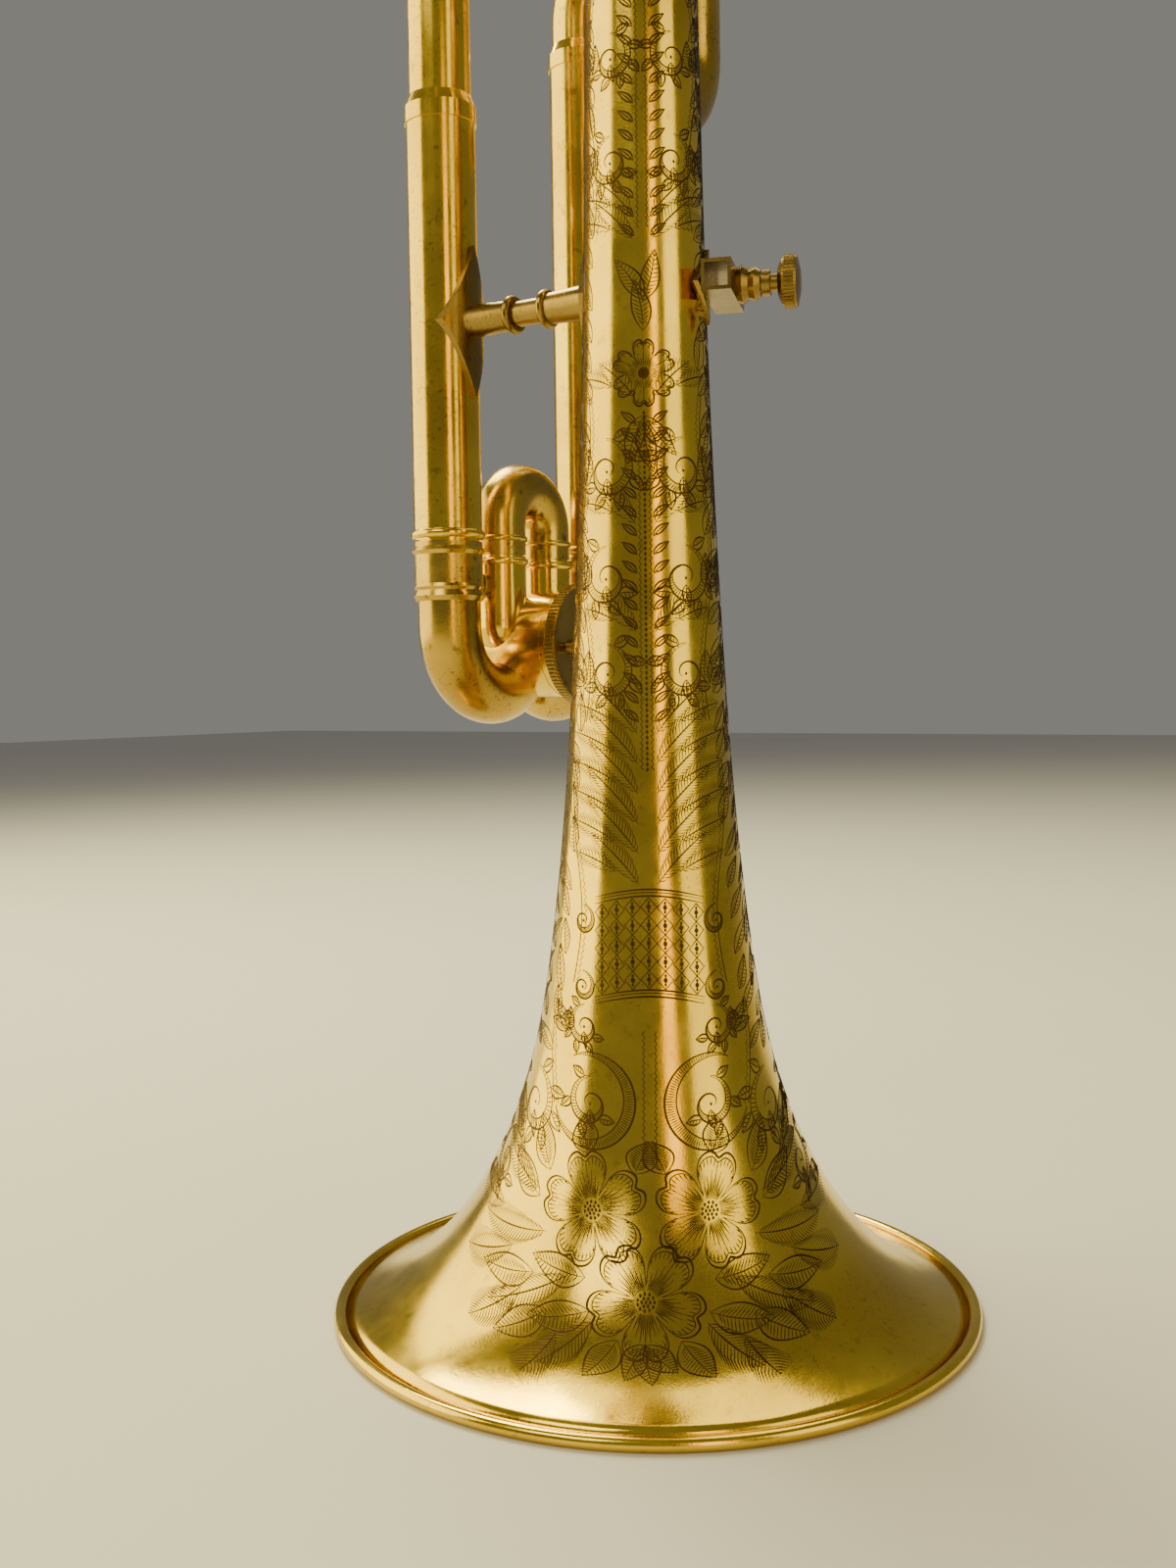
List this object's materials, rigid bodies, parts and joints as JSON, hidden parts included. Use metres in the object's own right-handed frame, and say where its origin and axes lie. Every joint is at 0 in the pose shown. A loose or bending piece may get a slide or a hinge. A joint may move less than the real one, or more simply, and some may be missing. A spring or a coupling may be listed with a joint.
{
  "type": "trumpet",
  "caption": "Brass trumpet standing on its bell, with piston valves, pull-out valve slides and a rotary pitch-change valve in the main tuning slide.",
  "frame": {"origin": "centre of the bell's mouth plane, on which the trumpet stands", "axes": "+Z along the bell axis towards the mouthpiece, +X from the leadpipe to the bell, +Y from the finger buttons to the bottom caps"},
  "size_m": [0.1254, 0.1311, 0.55],
  "materials": {
    "bell_brass": "polished and engraved",
    "brass": "polished, lightly worn",
    "tarnished_brass": "brown patina with dark spots",
    "dark_brass": "satin, darkened",
    "nickel": "polished nickel",
    "spring_steel": "plain wire",
    "silver_plate": "polished silver plate",
    "pearl": "mother-of-pearl",
    "felt": "pressed wool felt",
    "cork": "cut cork"
  },
  "bodies": {
    "body": {"bell": "bell_brass", "bell_tail": "bell_brass", "bell_bow": "brass", "bell_bow_ferrule": "brass", "leadpipe": "brass", "mouthpiece_receiver": "brass", "outer_slide_tubes": "brass", "third_valve_tube": "brass", "front_brace": "dark_brass", "rear_brace": "dark_brass", "valve_braces": "dark_brass", "lyre_box": "dark_brass", "finger_hook": "brass", "crossover_tubes": "brass", "first_slide_tubes": "brass", "second_slide_tubes": "brass", "third_slide_tubes": "brass", "valve_casing_1": "brass", "valve_casing_2": "brass", "valve_casing_3": "brass", "valve_top_cap_1": "brass", "valve_top_cap_2": "brass", "valve_top_cap_3": "brass", "valve_bottom_cap_1": "brass", "valve_bottom_cap_2": "brass", "valve_bottom_cap_3": "brass", "valve_spring_1": "spring_steel", "valve_spring_2": "spring_steel", "valve_spring_3": "spring_steel"},
    "tuning_slide": {"slide_legs": "brass", "slide_ferrules": "tarnished_brass", "upper_bow": "tarnished_brass", "lower_bow": "tarnished_brass", "rotary_barrel": "brass", "rotary_end_cap": "brass", "rotary_front_plate": "brass", "loop_sleeves": "brass", "slide_post": "dark_brass", "water_key_mount": "brass"},
    "change_rotor": {"rotor": "nickel", "change_wheel": "dark_brass", "wheel_stud": "dark_brass"},
    "change_loop": {"change_loop": "tarnished_brass"},
    "water_key": {"water_key": "brass", "water_key_cork": "cork"},
    "first_slide": {"first_slide_bow": "tarnished_brass"},
    "second_slide": {"second_slide_bow": "tarnished_brass"},
    "third_slide": {"third_slide_bow": "tarnished_brass", "third_slide_ring": "brass"},
    "lyre_screw": {"lyre_screw": "dark_brass"},
    "mouthpiece": {"mouthpiece": "silver_plate"},
    "valve_1": {"valve_piston_1": "nickel", "finger_button_1": "brass", "button_pearl_1": "pearl"},
    "valve_2": {"valve_piston_2": "nickel", "finger_button_2": "brass", "button_pearl_2": "pearl"},
    "valve_3": {"valve_piston_3": "nickel", "finger_button_3": "brass", "button_pearl_3": "pearl"}
  },
  "joints": [
    {"name": "tuning_slide_pull", "type": "slide", "parent": "body", "child": "tuning_slide", "axis": [0, 0, -1], "range_m": [0, 0.02]},
    {"name": "change_rotor_turn", "type": "hinge", "parent": "tuning_slide", "child": "change_rotor", "pos_m": [-0.044, 0.024, 0.1185], "axis": [1, 0, 0], "range_deg": [0, 90]},
    {"name": "change_loop_pull", "type": "slide", "parent": "tuning_slide", "child": "change_loop", "axis": [0, 0, 1], "range_m": [0, 0.005]},
    {"name": "water_key_open", "type": "hinge", "parent": "tuning_slide", "child": "water_key", "pos_m": [-0.0555, 0.048, 0.131], "axis": [0, 1, 0], "range_deg": [0, 15], "stiffness_Nm_per_rad": 0.03, "springref_deg": -28.65},
    {"name": "first_slide_pull", "type": "slide", "parent": "body", "child": "first_slide", "axis": [0, 0, 1], "range_m": [0, 0.015]},
    {"name": "second_slide_pull", "type": "slide", "parent": "body", "child": "second_slide", "axis": [-1, 0, 0], "range_m": [0, 0.009]},
    {"name": "third_slide_pull", "type": "slide", "parent": "body", "child": "third_slide", "axis": [0, 0, -1], "range_m": [0, 0.025]},
    {"name": "lyre_screw_turn", "type": "hinge", "parent": "body", "child": "lyre_screw", "pos_m": [0.01287, 0.00469, 0.178], "axis": [0.9397, 0.342, 0], "range_deg": [0, 360]},
    {"name": "mouthpiece_pull", "type": "slide", "parent": "body", "child": "mouthpiece", "axis": [0, 0, 1], "range_m": [0, 0.028]},
    {"name": "valve_1_press", "type": "slide", "parent": "body", "child": "valve_1", "axis": [0, 1, 0], "range_m": [0, 0.0165], "stiffness_N_per_m": 140, "springref_m": -0.016, "deforming": ["valve_spring_1"]},
    {"name": "valve_2_press", "type": "slide", "parent": "body", "child": "valve_2", "axis": [0, 1, 0], "range_m": [0, 0.0165], "stiffness_N_per_m": 140, "springref_m": -0.016, "deforming": ["valve_spring_2"]},
    {"name": "valve_3_press", "type": "slide", "parent": "body", "child": "valve_3", "axis": [0, 1, 0], "range_m": [0, 0.0165], "stiffness_N_per_m": 140, "springref_m": -0.016, "deforming": ["valve_spring_3"]}
  ]
}
